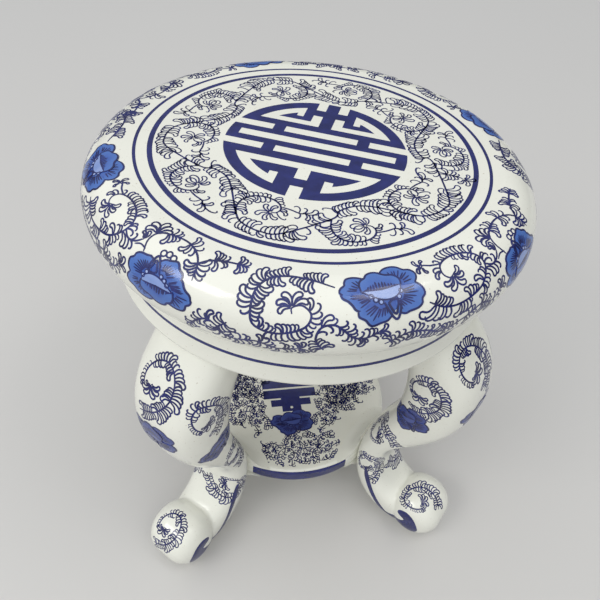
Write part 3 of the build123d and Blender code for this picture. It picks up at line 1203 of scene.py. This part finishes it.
def fired_material(name, drift_size):
    """A new material with the fired glaze group in it."""
    made, tree, shader = new_material(name)
    fired = add_node(tree, "ShaderNodeGroup", {"Drift size": drift_size}, node_tree=fired_glaze)
    return made, tree, shader, fired


def glaze_finish(tree, shader, fired, colour):
    """The colour, and the gloss that every glazed surface shares."""
    for name, value in glaze_gloss.items():
        shader.inputs[name].default_value = value
    rough = ranged(tree, fired.outputs["Drift"], {"To Min": 0.10, "To Max": 0.20})
    bump = add_node(tree, "ShaderNodeBump", {"Strength": 0.05, "Distance": 0.0005})
    link = tree.links.new
    link(colour, shader.inputs["Base Color"])
    link(rough, shader.inputs["Roughness"])
    link(fired.outputs["Ripple"], bump.inputs["Height"])
    link(bump.outputs["Normal"], shader.inputs["Normal"])


def white_glaze():
    made, tree, shader, fired = fired_material("white_glaze", 18.0)
    drift = mixed(tree, fired.outputs["Drift"], (0.70, 0.70, 0.625), (0.82, 0.82, 0.735))
    glaze_finish(tree, shader, fired, mixed(tree, fired.outputs["Pins"], drift, (0.52, 0.47, 0.38)))
    return made


def cobalt_paint(name, deep, thin):
    """Cobalt under the glaze: pools dark and thins to a paler blue."""
    made, tree, shader, fired = fired_material(name, 160.0)
    pooled = ranged(tree, fired.outputs["Drift"], {"From Min": 0.3, "From Max": 0.75})
    glaze_finish(tree, shader, fired, mixed(tree, pooled, deep, thin))
    return made


def petal_wash(name, tones, streaks):
    """Thin cobalt wash on the petals: deep at the root, paler towards the edge, with brush streaks."""
    made, tree, shader, fired = fired_material(name, 240.0)
    share = add_node(tree, "ShaderNodeAttribute", attribute_name="wash")
    half = add_node(tree, "ShaderNodeMath", {1: 0.5}, operation="MULTIPLY")
    ramp = add_node(tree, "ShaderNodeValToRGB")
    stops = ramp.color_ramp.elements
    stops[0].color = (*tones[0], 1)
    stops[1].color = (*tones[-1], 1)
    for place, tone in zip(wash_stops, tones[1:]):
        stops.new(place).color = (*tone, 1)
    tree.links.new(share.outputs["Fac"], half.inputs[0])
    tree.links.new(half.outputs["Value"], ramp.inputs["Fac"])
    streak = ranged(tree, fired.outputs["Drift"], {"From Min": 0.35, "From Max": 0.8, "To Max": 0.5})
    glaze_finish(tree, shader, fired, mixed(tree, streak, ramp.outputs["Color"], streaks))
    return made


def bare_clay():
    made, tree, shader, fired = fired_material("bare_clay", 40.0)
    colour = mixed(tree, fired.outputs["Drift"], (0.52, 0.47, 0.38), (0.66, 0.61, 0.51))
    tree.links.new(colour, shader.inputs["Base Color"])
    shader.inputs["Roughness"].default_value = 0.8
    return made


fired_glaze = speckle_group()
white = white_glaze()
cobalt = cobalt_paint("cobalt_line", *line_tones)
cobalt_solid = cobalt_paint("cobalt_solid", *solid_tones)
petals = petal_wash("petal_wash", petal_tones, petal_streak)
# A darker copy of the petal wash that carries painted shade, for the flowers under the seat
shaded_petals = petal_wash("shaded_petal_wash", shaded_petal_tones, shaded_petal_streak)
clay = bare_clay()
for name, node in nodes.items():
    node.data.materials.clear()
    node.data.materials.append(clay if name == "seat_floor" else white)


# Painting

leaf_kinds = {(hand, kind, thick): leaf_object(hand, kind, thick)
              for hand in (1, -1) for kind in leaf_shapes for thick in leaf_pens}
leaves = leaf_tree()


def finished(drawing):
    set_leaves(drawing, leaves, leaf_kinds, cobalt)
    return drawing


def flower_parts(flowers):
    """The washes and the lines of flowers and their wraps, each layer a hair above the one before."""
    washes, lines = [], []
    for flower, wrap in flowers:
        for layer, (wash, line) in enumerate(flower):
            washes.append((wash, wrap, 2 * layer * layer_lift))
            lines.append((line, wrap, (2 * layer + 1) * layer_lift))
    return washes, lines


def paint_top():
    level = onto_level(top_height)
    rings = [(outer_ring_radius, outer_ring_width), (inner_ring_radius, inner_ring_width)]
    painted_piece("top_rings", [(ring_drawing(*ring), level) for ring in rings], cobalt_solid)
    fret = onto_level(top_height, medallion_turn, medallion_middle)
    painted_piece("top_medallion", [(medallion_drawing(medallion_radius), fret)], cobalt_solid)
    painted_piece("top_vine", [(finished(field_drawing()), level)], cobalt)


def paint_rim():
    vine = finished(rim_panel_lines())
    flowers = [peony(high_flower), peony(low_flower, low_flower_size, 180.0)]
    for number, azimuth in enumerate(panel_places, 1):
        wrap = onto_rim(azimuth)
        washes, lines = flower_parts([(flower, wrap) for flower in flowers])
        painted_piece(f"rim_vine_{number}", [(vine, wrap)], cobalt)
        painted_piece(f"rim_peony_wash_{number}", washes, petals)
        painted_piece(f"rim_peony_lines_{number}", lines, cobalt)


def paint_collar(columns=241):
    line = Drawing()
    around = np.linspace(0, 2 * math.pi * collar_radius, columns)
    line.brush(np.stack([around, np.full(columns, collar_reach)], 1), collar_line_width, (1, 1))
    painted_piece("collar_line", [(line, onto_collar())], cobalt_solid)


# Legs: size and turn of each scroll, its middle as reach, sideways and height, and on which legs it is
pair_a = ("front_left", "back_right")
pair_b = ("front_right", "back_left")
every_leg = pair_a + pair_b
leg_scrolls = [
    (0.80, 0.0, (121, -1, 177), pair_a),
    (0.80, 32.0, (118.5, -2.5, 180), pair_b),
    (0.68, 30.0, (110.5, 23, 166), every_leg),
    (0.76, 0.0, (106, -24, 157), every_leg),
    (0.70, 20.0, (84, 19, 94), every_leg),
    (0.68, 110.0, (80, -19, 98), every_leg),
    (0.68, -80.0, (90, 12, 45), every_leg),
    (0.60, 30.0, (85, -17.6, 53), every_leg),
    (0.62, 0.0, (131, -1, 31), pair_a),
    (0.64, 36.0, (122, -5, 37), pair_b),
]
# The flowers are the same on every leg
leg_flowers = [
    (0.86, 0.0, (129, -2, 147)),
    (0.78, 20.0, (105, 22, 130)),
    (0.80, 20.0, (98, -22, 130)),
]


def paint_leg(place, turn):
    name = f"leg_{place}"
    tree = tree_of(name)
    scrolls, flowers = [], []
    for size, tilt, where, legs in leg_scrolls:
        if place in legs:
            scrolls.append((finished(comma_drawing(size, tilt)), walked(tree, leg_place(turn, *where))))
    for size, tilt, where in leg_flowers:
        flowers.append((peony((0.0, 0.0), size, tilt), walked(tree, leg_place(turn, *where))))
    washes, lines = flower_parts(flowers)
    commas = [(foot_drawing(-side), pressed(tree, turn, side), 4 * layer_lift) for side in (1, -1)]
    painted_piece(f"{name}_scrolls", scrolls, cobalt)
    painted_piece(f"{name}_commas", commas, cobalt_solid)
    # The leg flowers take the darker wash, which is painted shade
    painted_piece(f"{name}_flower_wash", washes, shaded_petals)
    painted_piece(f"{name}_flower_lines", lines, cobalt)


def paint_shelf():
    fret = onto_level(shelf_height, 0.0, shelf_fret_middle)
    painted_piece("shelf_medallion", [(shelf_fret(), fret)], cobalt_solid)
    flower = peony(shelf_flower_middle, shelf_flower_size)
    patch = finished(vine_patch(shelf_bays))
    halves = [onto_level(shelf_height, turn) for turn in (0.0, 180.0)]
    washes, lines = flower_parts([(flower, half) for half in halves])
    bands = [(shelf_edge_band(shelf_band_highs[quarter % 2]), onto_shelf_edge(90.0 * quarter))
             for quarter in range(4)]
    painted_piece("shelf_vines", [(patch, half) for half in halves], cobalt)
    # The shelf flower takes the darker wash, which is painted shade
    painted_piece("shelf_flower_wash", washes, shaded_petals)
    painted_piece("shelf_flower_lines", lines, cobalt)
    painted_piece("shelf_band", bands, cobalt_solid)


paint_top()
paint_rim()
paint_collar()
for place, turn in leg_turns.items():
    paint_leg(place, turn)
paint_shelf()
for made in leaf_kinds.values():
    bpy.data.objects.remove(made)


# Stage: floor, soft light and the camera where the photograph was taken from. Lengths are in metres and
# angles in degrees.

floor_size = 3.0
floor_tones = [(0.55, 0.54, 0.52), (0.60, 0.59, 0.57)]
sky_colour = (0.95, 0.97, 1.0, 1)
sky_low = 0.15
sky_high = 1.26
sky_bright_side = (-0.25, -0.30, 0.92)
lamp_aim = (0, 0, 0.2)
# Each lamp: its place, its size, its power and its colour
lamps = {
    "window": ((-1.04, -0.49, 1.16), (0.7, 0.4), 5, (1.0, 0.98, 0.95)),
    "front": ((0.57, -0.27, 1.56), (0.6, 0.4), 2.5, (1.0, 0.97, 0.92)),
}
camera_rise = 30.311
camera_roll = 5.723
camera_pan = -0.082
camera_tilt = 14.424
camera_turn = -13.0
camera_distance = 0.3248
camera_sensor = 36.0


def make_floor():
    mesh = bpy.data.meshes.new("floor")
    corners = box(-floor_size, -floor_size, floor_size, floor_size)
    mesh.from_pydata([(x, y, 0) for x, y in corners], [], [(0, 1, 2, 3)])
    floor = add_object("floor", mesh)
    made, tree, shader = new_material("pale_floor")
    noise = add_node(tree, "ShaderNodeTexNoise", {"Scale": 6.0})
    tree.links.new(mixed(tree, noise.outputs["Fac"], *floor_tones), shader.inputs["Base Color"])
    shader.inputs["Roughness"].default_value = 0.7
    mesh.materials.append(made)


def make_lamp(name, place, size, power, colour):
    lamp = bpy.data.lights.new(name, "AREA")
    lamp.shape = "RECTANGLE"
    lamp.size, lamp.size_y = size
    lamp.energy = power
    lamp.color = colour
    holder = add_object(name, lamp)
    holder.location = place
    holder.rotation_euler = (Vector(lamp_aim) - Vector(place)).to_track_quat("-Z", "Y").to_euler()


def make_sky():
    """Soft light all round, brighter from one side."""
    world = bpy.data.worlds.new("studio")
    world.use_nodes = True
    tree = world.node_tree
    back = tree.nodes["Background"]
    back.inputs["Color"].default_value = sky_colour
    place = add_node(tree, "ShaderNodeTexCoord")
    facing = add_node(tree, "ShaderNodeVectorMath", {1: sky_bright_side}, operation="DOT_PRODUCT")
    limits = {"From Min": -0.15, "From Max": 1.0, "To Min": sky_low, "To Max": sky_high}
    rise = add_node(tree, "ShaderNodeMapRange", limits, interpolation_type="SMOOTHSTEP")
    tree.links.new(place.outputs["Generated"], facing.inputs[0])
    tree.links.new(facing.outputs["Value"], rise.inputs["Value"])
    tree.links.new(rise.outputs["Result"], back.inputs["Strength"])
    bpy.context.scene.world = world


def rotation(degrees, first, second):
    """A turn from one axis towards another."""
    a = math.radians(degrees)
    made = np.eye(3)
    made[first, first] = made[second, second] = math.cos(a)
    made[first, second], made[second, first] = -math.sin(a), math.sin(a)
    return made


def make_camera():
    """The camera of the photograph: a square picture, with a focal length equal to its width."""
    rise = math.radians(camera_rise)
    back = np.array([0, -math.cos(rise), math.sin(rise)])
    right = np.array([1.0, 0, 0])
    rows = np.stack([right, np.cross(right, back), -back])
    about = rotation(camera_turn, 0, 1)
    swing = rotation(camera_roll, 0, 1) @ rotation(camera_tilt, 1, 2) @ rotation(camera_pan, 2, 0)
    rows = swing @ rows @ about.T
    place = about @ (back * camera_distance) + np.array([0, 0, top_height * MM])
    data = bpy.data.cameras.new("camera")
    data.sensor_width = camera_sensor
    data.lens = camera_sensor
    data.clip_start = 0.01
    holder = add_object("camera", data)
    pose = np.eye(4)
    pose[:3] = np.stack([rows[0], -rows[1], -rows[2], place], 1)
    holder.matrix_world = Matrix(pose.tolist())
    bpy.context.scene.camera = holder


make_floor()
make_sky()
for name, lamp in lamps.items():
    make_lamp(name, *lamp)
make_camera()
bpy.context.scene.view_settings.view_transform = "Standard"

bpy.context.view_layer.update()
